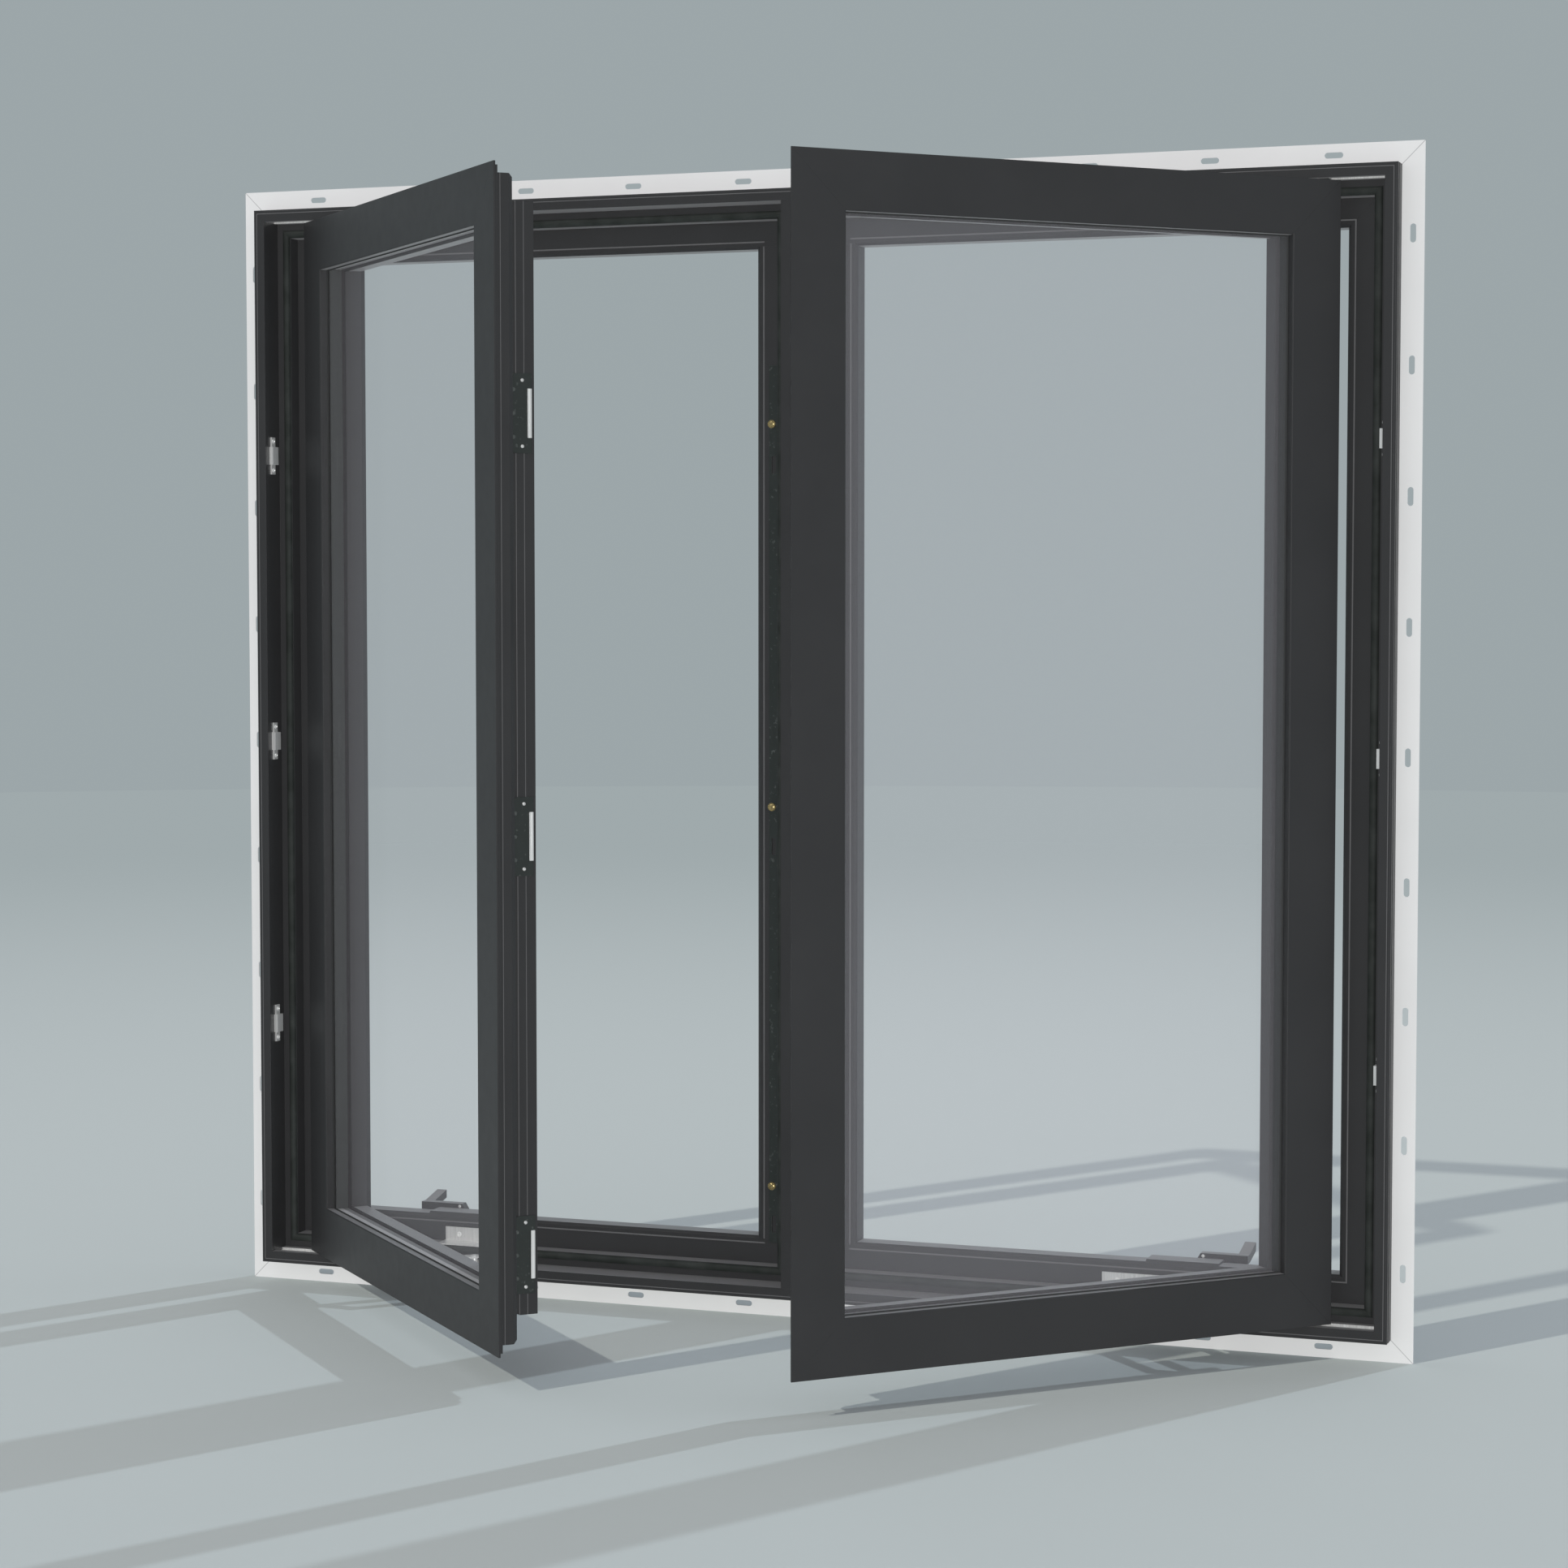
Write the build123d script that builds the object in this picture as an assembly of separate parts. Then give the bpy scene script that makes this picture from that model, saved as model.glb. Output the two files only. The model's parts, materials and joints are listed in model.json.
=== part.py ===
# Double casement window: a frame with a central mullion and nailing fins, and two outward-opening
# sashes on sliding-shoe hinges, each driven by a crank operator on the sill.
# Millimetres. X to the right seen from outside, Y into the building, Z up.
# Origin: centre of the sill fin's back face, the face that lies against the wall.
import os
from math import cos, radians, sin

from build123d import *

# Frame
FRAME_W = 1418.0
FRAME_H = 1316.0
FRAME_DEPTH = 83.0
FRONT_PROUD = 27.0
LIP = 14.4
LEDGE_DEPTH = 36.0
STEP_H = 17.5
STOP_SETBACK = 20.0
STOP_H = 32.5
STOP_BEVEL = 3.0
STOP_LINE_DEPTH = 0.8
STOP_LINE_WIDTH = 1.6
STOP_LINE_INSET = 9.0
FRONT_CHAMFER = 1.5
FRONT_LINE_INSET = 4.0
FRONT_LINE_WIDTH = 0.9
FRONT_LINE_DEPTH = 0.6
SIDE_GROOVE_DEPTH = 1.5
SIDE_GROOVE_WIDTH = 4.0
SIDE_GROOVE_SETBACK = 6.0
MULLION_LIP_HALF = 13.0

# Nailing fins
FIN_REVEAL = 25.4
FIN_THICK = 1.6
SLOT_LENGTH = 21.0
SLOT_WIDTH = 6.6
SLOT_EDGE = 12.7
SLOT_END = 101.6
SIDE_SLOTS = 9
LEVEL_SLOTS = 10

# Frame seals
SEAL_R = 4.6
SEAL_INSET = 12.5

# Sashes
SASH_GAP = 2.6
LOCK_GAP = 5.0
SASH_BACK_GAP = 5.0
SASH_DEPTH = 59.0
FLANGE_T = 2.2
SECOND_LIP_O = 3.7
SECOND_LIP_T = 6.0
BODY_O = 11.0
BODY_T = 21.6
BODY_CHAMFER_O = 3.8
BODY_CHAMFER_T = 4.9
INNER_O = 36.5
SASH_FACE = 62.5
FACE_CHAMFER = 1.0
GLASS_T = 10.0
GLASS_UNIT = 22.0
POCKET = 12.0
POCKET_PLAY = 1.5
PANE = 3.2
SPACER_W = 8.0
SPACER_SIGHT = 1.5
INNER_BEVEL_O = 4.0
INNER_BEVEL_T = 6.0
EDGE_GROOVE_T = 33.3
EDGE_GROOVE_WIDTH = 5.2
EDGE_GROOVE_DEPTH = 1.0
EDGE_LINE_T = 47.0
BODY_LINE_T = 11.0
FINE_LINE_WIDTH = 0.9
FINE_LINE_DEPTH = 0.6

# Hinges: an isosceles linkage, with the support arm as long as the sash arm is from shoe to joint
SASH_ANGLE = 45.0
HINGE_ARM = 105.0
SHOE_S = 15.0
SHOE_T = 25.8
PIN_PLAY = 0.05
TRACK_W = 20.0
TRACK_DEPTH = 4.2
TRACK_BASE = 1.5
TRACK_WALL = 1.5
TRACK_END = 14.0
SHOE_L = 30.0
SHOE_PLAY = 0.3
SHOE_PIN_R = 4.0
PIVOT_R = 3.5
ARM_W = 16.0
ARM_T = 2.2
ARM_GAP = 0.4
SUPPORT_ARM_H = 1.5
SASH_ARM_W = 16.0
SASH_ARM_T = 3.0
SASH_ARM_SEAT = 10.0

# Operators
DRIVE_OFFSET = 44.0
BRACKET_W = 113.0
BRACKET_T = 1.5
BRACKET_UPRIGHT = 18.0
BRACKET_FOOT = 17.0
BRACKET_SEAL_GAP = 0.6
BRACKET_GAP = 6.0
SPINDLE_R = 4.0
COVER_L = 86.0
COVER_SHIFT = 38.0
COVER_RISE = 2.5
COVER_FLAT = 6.0
COVER_REACH = 24.0
COVER_FALL = 6.0
COVER_H = 28.0
CRANK_SHIFT = 46.0
CRANK_L = 62.0
CRANK_W = 12.0
CRANK_T = 10.0
CRANK_TAPER = 6.0
CRANK_SETBACK = 9.6
CRANK_RISE = 7.5
CRANK_KNOB_W = 13.0
CRANK_KNOB_L = 34.0
CRANK_KNOB_RISE = 8.0

# Snubbers on the hinge jambs, and lock rollers on the mullion with keepers on the lock stiles
SNUBBER_Z = (314.4, 669.7, 1025.8)
SNUBBER_L = 46.0
SNUBBER_W = 14.0
SNUBBER_T = 2.0
SNUBBER_PAD_L = 22.0
SNUBBER_PAD_T = 5.0
SNUBBER_TAB = 9.0
SNUBBER_U = 17.0
ROLLER_Z = (140.5, 598.5, 1055.8)
ROLLER_X = 41.5
ROLLER_R = 3.5
ROLLER_L = 8.0
ROLLER_HEAD_R = 4.8
ROLLER_HEAD_L = 2.5
LOCK_BAR_W = 12.0
LOCK_BAR_T = 2.0
LOCK_BAR_END = 70.0
LOCK_SLOT_DROP = 48.0
LOCK_SLOT_L = 20.0
LOCK_SLOT_W = 5.0
KEEPER_DROP = 8.0
KEEPER_L = 86.0
KEEPER_T = 1.0
KEEPER_W = 28.0
KEEPER_CHAMFER = 8.0
KEEPER_BAR_L = 53.0
KEEPER_BAR_W = 6.0
KEEPER_BAR_T = 1.5
KEEPER_MARGIN = 3.0

# Places worked out from the sizes above
Y_FRONT = -FIN_THICK - FRONT_PROUD
Y_BACK = Y_FRONT + FRAME_DEPTH
Z_LOW = FIN_REVEAL / 2
Z_HIGH = Z_LOW + FRAME_H
X_SIDE = FRAME_W / 2
DAYLIGHT = LIP + STEP_H + STOP_H
STOP_U = LEDGE_DEPTH + STOP_SETBACK
MULLION_SHIFT = MULLION_LIP_HALF - LIP
SASH_U = STOP_U - SASH_BACK_GAP - SASH_DEPTH
X_HINGE = X_SIDE - LIP - SASH_GAP
X_LOCK = MULLION_LIP_HALF + LOCK_GAP
Z_SASH_LOW = Z_LOW + LIP + SASH_GAP
Z_SASH_HIGH = Z_HIGH - LIP - SASH_GAP
Z_SILL_LEDGE = Z_LOW + LIP
Z_HEAD_LEDGE = Z_HIGH - LIP
Z_MIDDLE = (Z_LOW + Z_HIGH) / 2
Y_SASH = Y_FRONT + SASH_U
Y_TRACK = Y_SASH + SHOE_T
X_SHOE_CLOSED = X_HINGE - SHOE_S
X_ARM_PIVOT = X_SHOE_CLOSED - 2 * HINGE_ARM
SHOE_SLIDE = 2 * HINGE_ARM * (1 - cos(radians(SASH_ANGLE)))
X_DRIVE_PIVOT = X_ARM_PIVOT - DRIVE_OFFSET
SASH_ARM_H = SASH_GAP + BODY_O - SASH_ARM_T
LINK_H = SUPPORT_ARM_H + ARM_T + ARM_GAP
DRIVE_ARM_H = LINK_H + ARM_T + ARM_GAP


def flat_face(points):
    return make_face(Polyline(*points, close=True))


def prism(points, direction, length):
    return extrude(flat_face(points), amount=length, dir=direction)


def block(x0, x1, y0, y1, z0, z1):
    return Pos((x0 + x1) / 2, (y0 + y1) / 2, (z0 + z1) / 2) * Box(x1 - x0, y1 - y0, z1 - z0)


def post(x, y, z0, z1, r):
    return Pos(x, y, (z0 + z1) / 2) * Cylinder(r, z1 - z0)


def mitred_bars(profile, x0, x1, z0, z1, y0):
    """Four bars round a rectangle, with a profile of (offset inwards, depth) points and mitred ends."""
    reach = max(o for o, u in profile)
    y_low = y0 + min(u for o, u in profile)
    depth = max(u for o, u in profile) - min(u for o, u in profile)
    width = x1 - x0
    height = z1 - z0
    top = prism([(x0, y0 + u, z1 - o) for o, u in profile], (1, 0, 0), width)
    bottom = prism([(x0, y0 + u, z0 + o) for o, u in profile], (1, 0, 0), width)
    left = prism([(x0 + o, y0 + u, z0) for o, u in profile], (0, 0, 1), height)
    right = prism([(x1 - o, y0 + u, z0) for o, u in profile], (0, 0, 1), height)
    corners = [(x0, z0), (x1, z0), (x1, z1), (x0, z1)]
    inner = [(x0 + reach, z0 + reach), (x1 - reach, z0 + reach),
             (x1 - reach, z1 - reach), (x0 + reach, z1 - reach)]
    mitres = []
    for k in range(4):
        n = (k + 1) % 4
        ring = [corners[k], corners[n], inner[n], inner[k]]
        mitres.append(prism([(x, y_low, z) for x, z in ring], (0, 1, 0), depth))
    return {"bottom": bottom & mitres[0], "right": right & mitres[1],
            "top": top & mitres[2], "left": left & mitres[3]}


def opening_profile():
    """The side of a frame section that faces the opening: (offset from outer face, depth from front)."""
    stop_line = LIP + STEP_H + STOP_H - STOP_LINE_INSET
    return [(LIP, 0), (LIP, LEDGE_DEPTH), (LIP + STEP_H, LEDGE_DEPTH),
            (LIP + STEP_H, STOP_U), (stop_line, STOP_U), (stop_line, STOP_U + STOP_LINE_DEPTH),
            (stop_line + STOP_LINE_WIDTH, STOP_U + STOP_LINE_DEPTH), (stop_line + STOP_LINE_WIDTH, STOP_U),
            (DAYLIGHT - STOP_BEVEL, STOP_U), (DAYLIGHT, STOP_U + STOP_BEVEL), (DAYLIGHT, FRAME_DEPTH)]


def frame_profile():
    """Section of a frame member, with a fine line in its front face and a groove in its outer face."""
    line_end = FRONT_LINE_INSET + FRONT_LINE_WIDTH
    groove_end = SIDE_GROOVE_SETBACK + SIDE_GROOVE_WIDTH
    front = [(FRONT_CHAMFER, 0), (FRONT_LINE_INSET, 0), (FRONT_LINE_INSET, FRONT_LINE_DEPTH),
             (line_end, FRONT_LINE_DEPTH), (line_end, 0)]
    outer = [(0, FRAME_DEPTH), (0, groove_end), (SIDE_GROOVE_DEPTH, groove_end),
             (SIDE_GROOVE_DEPTH, SIDE_GROOVE_SETBACK), (0, SIDE_GROOVE_SETBACK), (0, FRONT_CHAMFER)]
    return front + opening_profile() + outer


def frame_members():
    bars = mitred_bars(frame_profile(), -X_SIDE, X_SIDE, Z_LOW, Z_HIGH, Y_FRONT)
    # One side of the mullion has the frame's section from its lip inwards.
    inward = [(o + MULLION_SHIFT, u) for o, u in opening_profile()]
    half = [(0, 0)] + inward + [(0, FRAME_DEPTH)]
    section = [(o, Y_FRONT + u, Z_LOW) for o, u in half]
    right_half = prism(section, (0, 0, 1), FRAME_H)
    mullion = right_half + mirror(right_half, about=Plane.YZ)
    mullion = mullion - bars["top"] - bars["bottom"]
    mullion = max(mullion.solids(), key=lambda solid: solid.volume)
    for pocket in both_sides([track_pocket()]):
        bars["bottom"] -= pocket
        bars["top"] -= mirror(pocket, about=Plane.XY.offset(Z_MIDDLE))
    return {"frame_head": bars["top"], "frame_sill": bars["bottom"], "frame_left_jamb": bars["left"],
            "frame_right_jamb": bars["right"], "mullion": mullion}


def slot_cutter(x, z, along_x):
    shape = SlotOverall(SLOT_LENGTH, SLOT_WIDTH)
    turn = 0 if along_x else 90
    placed = Plane((x, 0, z), x_dir=(1, 0, 0), z_dir=(0, -1, 0)) * Rot(0, 0, turn) * shape
    return extrude(placed, amount=2 * FIN_THICK, both=True)


def nail_fins():
    strip = [(0, 0), (FIN_REVEAL, 0), (FIN_REVEAL, FIN_THICK), (0, FIN_THICK)]
    x = X_SIDE + FIN_REVEAL
    low = Z_LOW - FIN_REVEAL
    high = Z_HIGH + FIN_REVEAL
    bars = mitred_bars(strip, -x, x, low, high, -FIN_THICK)
    level_pitch = (2 * x - 2 * SLOT_END) / (LEVEL_SLOTS - 1)
    side_pitch = (high - low - 2 * SLOT_END) / (SIDE_SLOTS - 1)
    for k in range(LEVEL_SLOTS):
        slot_x = -x + SLOT_END + k * level_pitch
        bars["top"] -= slot_cutter(slot_x, high - SLOT_EDGE, True)
        bars["bottom"] -= slot_cutter(slot_x, low + SLOT_EDGE, True)
    for k in range(SIDE_SLOTS):
        slot_z = low + SLOT_END + k * side_pitch
        bars["left"] -= slot_cutter(-x + SLOT_EDGE, slot_z, False)
        bars["right"] -= slot_cutter(x - SLOT_EDGE, slot_z, False)
    return {"nail_fin_head": bars["top"], "nail_fin_sill": bars["bottom"],
            "nail_fin_left": bars["left"], "nail_fin_right": bars["right"]}


def seal_ring(x0, x1, z0, z1):
    """Bulb seal on the frame's step, a half-round strip round one opening with mitred corners."""
    bars = mitred_bars([(0, 0), (2 * SEAL_R, 0), (2 * SEAL_R, SEAL_R), (0, SEAL_R)], x0, x1, z0, z1,
                       Y_FRONT + LEDGE_DEPTH - SEAL_R)
    y = Y_FRONT + LEDGE_DEPTH
    width = x1 - x0
    height = z1 - z0
    along_x = Rot(0, 90, 0) * Cylinder(SEAL_R, width)
    along_z = Cylinder(SEAL_R, height)
    middle_x = (x0 + x1) / 2
    middle_z = (z0 + z1) / 2
    ring = bars["top"] & (Pos(middle_x, y, z1 - SEAL_R) * along_x)
    ring += bars["bottom"] & (Pos(middle_x, y, z0 + SEAL_R) * along_x)
    ring += bars["left"] & (Pos(x0 + SEAL_R, y, middle_z) * along_z)
    ring += bars["right"] & (Pos(x1 - SEAL_R, y, middle_z) * along_z)
    return ring


def right_seal():
    inset = SEAL_INSET - SEAL_R
    return seal_ring(MULLION_LIP_HALF + inset, X_SIDE - LIP - inset,
                     Z_SILL_LEDGE + inset, Z_HEAD_LEDGE - inset)


def both_ends(solid):
    """The same hardware at the sill and, turned over, at the head."""
    return [solid, mirror(solid, about=Plane.XY.offset(Z_MIDDLE))]


def track_pocket():
    """Room for the hinge track in the sill, up to the ledge."""
    half = TRACK_W / 2
    return block(X_ARM_PIVOT - TRACK_END, X_SIDE - LIP, Y_TRACK - half, Y_TRACK + half,
                 Z_SILL_LEDGE - TRACK_DEPTH, Z_SILL_LEDGE)


def hinge_track():
    """Sill track: a channel let into the ledge, with the support arm's fixed post."""
    half = TRACK_W / 2 - TRACK_WALL
    floor = Z_SILL_LEDGE - TRACK_DEPTH + TRACK_BASE
    channel = block(X_ARM_PIVOT - TRACK_END, X_SIDE - LIP, Y_TRACK - half, Y_TRACK + half,
                    floor, Z_SILL_LEDGE)
    track = track_pocket() - channel
    return track + post(X_ARM_PIVOT, Y_TRACK, floor, Z_SILL_LEDGE + SUPPORT_ARM_H + ARM_T, PIVOT_R)


def arm_plate(x0, y0, x1, y1, h, width, thick, holes):
    """Flat arm with round ends between two pivots, with (x, y, radius) holes."""
    along = Vector(x1 - x0, y1 - y0, 0)
    turn = along.get_angle(Vector(1, 0, 0)) * (1 if y1 >= y0 else -1)
    shape = SlotCenterToCenter(along.length, width)
    middle = Pos((x0 + x1) / 2, (y0 + y1) / 2, Z_SILL_LEDGE + h)
    plate = extrude(middle * Rot(0, 0, turn) * shape, amount=thick, dir=(0, 0, 1))
    for x, y, r in holes:
        plate -= post(x, y, Z_SILL_LEDGE + h - thick, Z_SILL_LEDGE + h + 2 * thick, r)
    return plate


def joint_point():
    """The pivot between support arm and sash arm, at the drawn opening angle."""
    x = X_SHOE_CLOSED - SHOE_SLIDE - HINGE_ARM * cos(radians(SASH_ANGLE))
    y = Y_TRACK - HINGE_ARM * sin(radians(SASH_ANGLE))
    return x, y


def support_arm():
    x, y = joint_point()
    return arm_plate(X_ARM_PIVOT, Y_TRACK, x, y, SUPPORT_ARM_H, ARM_W, ARM_T,
                     [(X_ARM_PIVOT, Y_TRACK, PIVOT_R + PIN_PLAY), (x, y, PIVOT_R + PIN_PLAY)])


def drive_arm():
    x, y = joint_point()
    arm = arm_plate(X_DRIVE_PIVOT, Y_TRACK, x - DRIVE_OFFSET, y, DRIVE_ARM_H, ARM_W, ARM_T,
                    [(X_DRIVE_PIVOT, Y_TRACK, SPINDLE_R + PIN_PLAY)])
    pin_top = Z_SILL_LEDGE + DRIVE_ARM_H + ARM_T
    return arm + post(x - DRIVE_OFFSET, y, Z_SILL_LEDGE + LINK_H, pin_top, PIVOT_R)


def drive_link():
    x, y = joint_point()
    return arm_plate(x - DRIVE_OFFSET, y, x, y, LINK_H, ARM_W, ARM_T,
                     [(x - DRIVE_OFFSET, y, PIVOT_R + PIN_PLAY), (x, y, PIVOT_R + PIN_PLAY)])


def hinge_shoe():
    x = X_SHOE_CLOSED - SHOE_SLIDE
    half = TRACK_W / 2 - TRACK_WALL - SHOE_PLAY
    z0 = Z_SILL_LEDGE - TRACK_DEPTH + TRACK_BASE + SHOE_PLAY
    shoe = block(x - SHOE_L / 2, x + SHOE_L / 2, Y_TRACK - half, Y_TRACK + half, z0, Z_SILL_LEDGE)
    return shoe + post(x, Y_TRACK, z0, Z_SILL_LEDGE + SASH_GAP + BODY_O - SHOE_PLAY, SHOE_PIN_R)


def operator_bracket():
    """Stamped bracket: upright on the stop face, shelf over the seal, leg and foot on the ledge."""
    x0 = X_DRIVE_PIVOT - BRACKET_W / 2
    x1 = X_DRIVE_PIVOT + BRACKET_W / 2
    seal_front = LEDGE_DEPTH - SEAL_R - BRACKET_SEAL_GAP
    shelf = Z_SILL_LEDGE + STEP_H
    y_stop = Y_FRONT + STOP_U
    y_leg = Y_FRONT + seal_front
    foot_x1 = X_ARM_PIVOT - TRACK_END - BRACKET_GAP
    leg_x1 = X_DRIVE_PIVOT - ARM_W / 2 - BRACKET_GAP
    bracket = block(x0, x1, y_stop - BRACKET_T, y_stop, shelf, shelf + BRACKET_UPRIGHT)
    bracket += block(x0, x1, y_leg - BRACKET_T, y_stop, shelf, shelf + BRACKET_T)
    bracket += block(x0, leg_x1, y_leg - BRACKET_T, y_leg, Z_SILL_LEDGE, shelf + BRACKET_T)
    bracket += block(x0, foot_x1, Y_TRACK - BRACKET_FOOT / 2, y_leg, Z_SILL_LEDGE, Z_SILL_LEDGE + BRACKET_T)
    spindle_top = Z_SILL_LEDGE + DRIVE_ARM_H + ARM_T
    return bracket + post(X_DRIVE_PIVOT, Y_TRACK, Z_SILL_LEDGE, spindle_top, SPINDLE_R)


def operator_cover():
    """Interior cover of the operator: low on the sill's inner top, then sloped down into the room."""
    x0 = X_DRIVE_PIVOT + COVER_SHIFT - COVER_L / 2
    y0 = Y_FRONT + STOP_U + STOP_BEVEL
    y1 = Y_BACK + COVER_REACH
    z0 = Z_LOW + DAYLIGHT
    top = z0 + COVER_RISE
    foot = z0 - COVER_H
    section = [(x0, y0, z0), (x0, y0 + COVER_RISE, top), (x0, Y_BACK + COVER_FLAT, top),
               (x0, y1, z0 - COVER_FALL), (x0, y1, foot), (x0, Y_BACK, foot), (x0, Y_BACK, z0)]
    return prism(section, (1, 0, 0), COVER_L)


def crank_handle():
    """Crank folded onto its cover: an arm towards the hinge side, with its knob turned into the room."""
    x0 = X_DRIVE_PIVOT + CRANK_SHIFT
    x1 = x0 + CRANK_L
    y0 = Y_BACK + CRANK_SETBACK
    y1 = y0 + CRANK_W
    y2 = y1 + CRANK_KNOB_L
    z1 = Z_LOW + DAYLIGHT + CRANK_RISE
    z0 = z1 - CRANK_T
    arm_side = [(x0, y0, z0), (x0 + CRANK_TAPER, y0, z1), (x1, y0, z1), (x1, y0, z0)]
    handle = prism(arm_side, (0, 1, 0), CRANK_W)
    knob_x = x1 - CRANK_KNOB_W
    handle += prism([(knob_x, y0, z0), (knob_x, y1, z0), (knob_x, y2, z0 + CRANK_KNOB_RISE),
                     (knob_x, y2, z1 + CRANK_KNOB_RISE), (knob_x, y1, z1), (knob_x, y0, z1)],
                    (1, 0, 0), CRANK_KNOB_W)
    return handle - operator_cover()


def snubbers():
    """Three stamped brackets on the hinge jamb's ledge, each with a raised pad between two tabs."""
    x1 = X_SIDE - LIP
    y = Y_FRONT + SNUBBER_U
    made = []
    for z in SNUBBER_Z:
        plate = block(x1 - SNUBBER_T, x1, y - SNUBBER_TAB / 2, y + SNUBBER_TAB / 2,
                      z - SNUBBER_L / 2, z + SNUBBER_L / 2)
        pad = block(x1 - SNUBBER_PAD_T, x1, y - SNUBBER_W / 2, y + SNUBBER_W / 2,
                    z - SNUBBER_PAD_L / 2, z + SNUBBER_PAD_L / 2)
        made.append(plate + pad)
    return made


def lock_bar():
    """Tie bar on the mullion's stop face, with a slot below each roller's place."""
    y1 = Y_FRONT + STOP_U
    y0 = y1 - LOCK_BAR_T
    bar = block(ROLLER_X - LOCK_BAR_W / 2, ROLLER_X + LOCK_BAR_W / 2, y0, y1,
                ROLLER_Z[0] - LOCK_BAR_END, ROLLER_Z[-1] + LOCK_BAR_END)
    for z in ROLLER_Z:
        slot_z = z - LOCK_SLOT_DROP
        bar -= block(ROLLER_X - LOCK_SLOT_W / 2, ROLLER_X + LOCK_SLOT_W / 2, y0, y1,
                     slot_z - LOCK_SLOT_L / 2, slot_z + LOCK_SLOT_L / 2)
    return bar


def lock_rollers():
    """Headed rollers that stand on the tie bar."""
    y1 = Y_FRONT + STOP_U - LOCK_BAR_T
    made = []
    for z in ROLLER_Z:
        seat = Plane((ROLLER_X, y1, z), x_dir=(1, 0, 0), z_dir=(0, -1, 0))
        barrel = extrude(seat * Circle(ROLLER_R), amount=ROLLER_L)
        head = extrude(seat.offset(ROLLER_L - ROLLER_HEAD_L) * Circle(ROLLER_HEAD_R), amount=ROLLER_HEAD_L)
        made.append(barrel + head)
    return made


def groove(offset, depth, width, cut):
    """Four points of a section that cut a groove into an edge at `offset`."""
    return [(offset, depth), (offset + cut, depth), (offset + cut, depth + width), (offset, depth + width)]


def sash_profile():
    """Section of a sash member: offset from its outer edge, depth from its exterior face."""
    body_back = BODY_T + BODY_CHAMFER_T
    pocket = SASH_FACE - POCKET
    glass_back = GLASS_T + GLASS_UNIT
    flange = [(0, 0), (0, FLANGE_T), (SECOND_LIP_O, FLANGE_T), (SECOND_LIP_O, SECOND_LIP_T)]
    body = [(BODY_O, SECOND_LIP_T)] + groove(BODY_O, BODY_LINE_T, FINE_LINE_WIDTH, FINE_LINE_DEPTH)
    body += [(BODY_O, BODY_T), (BODY_O + BODY_CHAMFER_O, body_back), (INNER_O, body_back)]
    edge = groove(INNER_O, EDGE_GROOVE_T, EDGE_GROOVE_WIDTH, EDGE_GROOVE_DEPTH)
    edge += groove(INNER_O, EDGE_LINE_T, FINE_LINE_WIDTH, FINE_LINE_DEPTH)
    inside = [(INNER_O, SASH_DEPTH), (SASH_FACE - INNER_BEVEL_O, SASH_DEPTH),
              (SASH_FACE, SASH_DEPTH - INNER_BEVEL_T), (SASH_FACE, glass_back), (pocket, glass_back),
              (pocket, GLASS_T), (SASH_FACE, GLASS_T), (SASH_FACE, FACE_CHAMFER),
              (SASH_FACE - FACE_CHAMFER, 0)]
    return flange + body + edge + inside


def rectangle_ring(inset, thick, y0, hole):
    """A flat plate inside the sash, `inset` from its edges, with an opening `hole` further in if given."""
    x0 = X_LOCK + inset
    x1 = X_HINGE - inset
    z0 = Z_SASH_LOW + inset
    z1 = Z_SASH_HIGH - inset
    plate = block(x0, x1, y0, y0 + thick, z0, z1)
    if hole:
        plate -= block(x0 + hole, x1 - hole, y0, y0 + thick, z0 + hole, z1 - hole)
    return plate


def keepers():
    """Three plates on the lock stile's edge, with two chamfered corners and a raised striker bar."""
    x0 = X_LOCK + INNER_O - KEEPER_T
    x1 = X_LOCK + INNER_O
    y1 = Y_SASH + SASH_DEPTH - KEEPER_MARGIN
    y0 = y1 - KEEPER_W
    made = []
    for roller_z in ROLLER_Z:
        z = roller_z - KEEPER_DROP
        low = z - KEEPER_L / 2
        high = z + KEEPER_L / 2
        outline = [(x0, y1, low), (x0, y1, high), (x0, y0 + KEEPER_CHAMFER, high),
                   (x0, y0, high - KEEPER_CHAMFER), (x0, y0, low + KEEPER_CHAMFER),
                   (x0, y0 + KEEPER_CHAMFER, low)]
        plate = prism(outline, (1, 0, 0), KEEPER_T)
        plate += block(x0 - KEEPER_BAR_T, x0, y1 - KEEPER_BAR_W, y1,
                       z - KEEPER_BAR_L / 2, z + KEEPER_BAR_L / 2)
        made.append(plate)
    return made


def sash_arm():
    """Flat arm under the sash, from the shoe's pin to the support arm's pivot."""
    x1 = X_SHOE_CLOSED
    x0 = X_SHOE_CLOSED - HINGE_ARM
    arm = arm_plate(x0, Y_TRACK, x1, Y_TRACK, SASH_ARM_H, SASH_ARM_W, SASH_ARM_T, [])
    arm += block(x0, x1, Y_SASH + SASH_ARM_SEAT, Y_TRACK, Z_SILL_LEDGE + SASH_ARM_H,
                 Z_SILL_LEDGE + SASH_ARM_H + SASH_ARM_T)
    top = Z_SILL_LEDGE + SASH_ARM_H + SASH_ARM_T
    arm -= post(x1, Y_TRACK, Z_SILL_LEDGE, top + SASH_ARM_T, SHOE_PIN_R + PIN_PLAY)
    return arm + post(x0, Y_TRACK, Z_SILL_LEDGE + SUPPORT_ARM_H, top, PIVOT_R)


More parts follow.
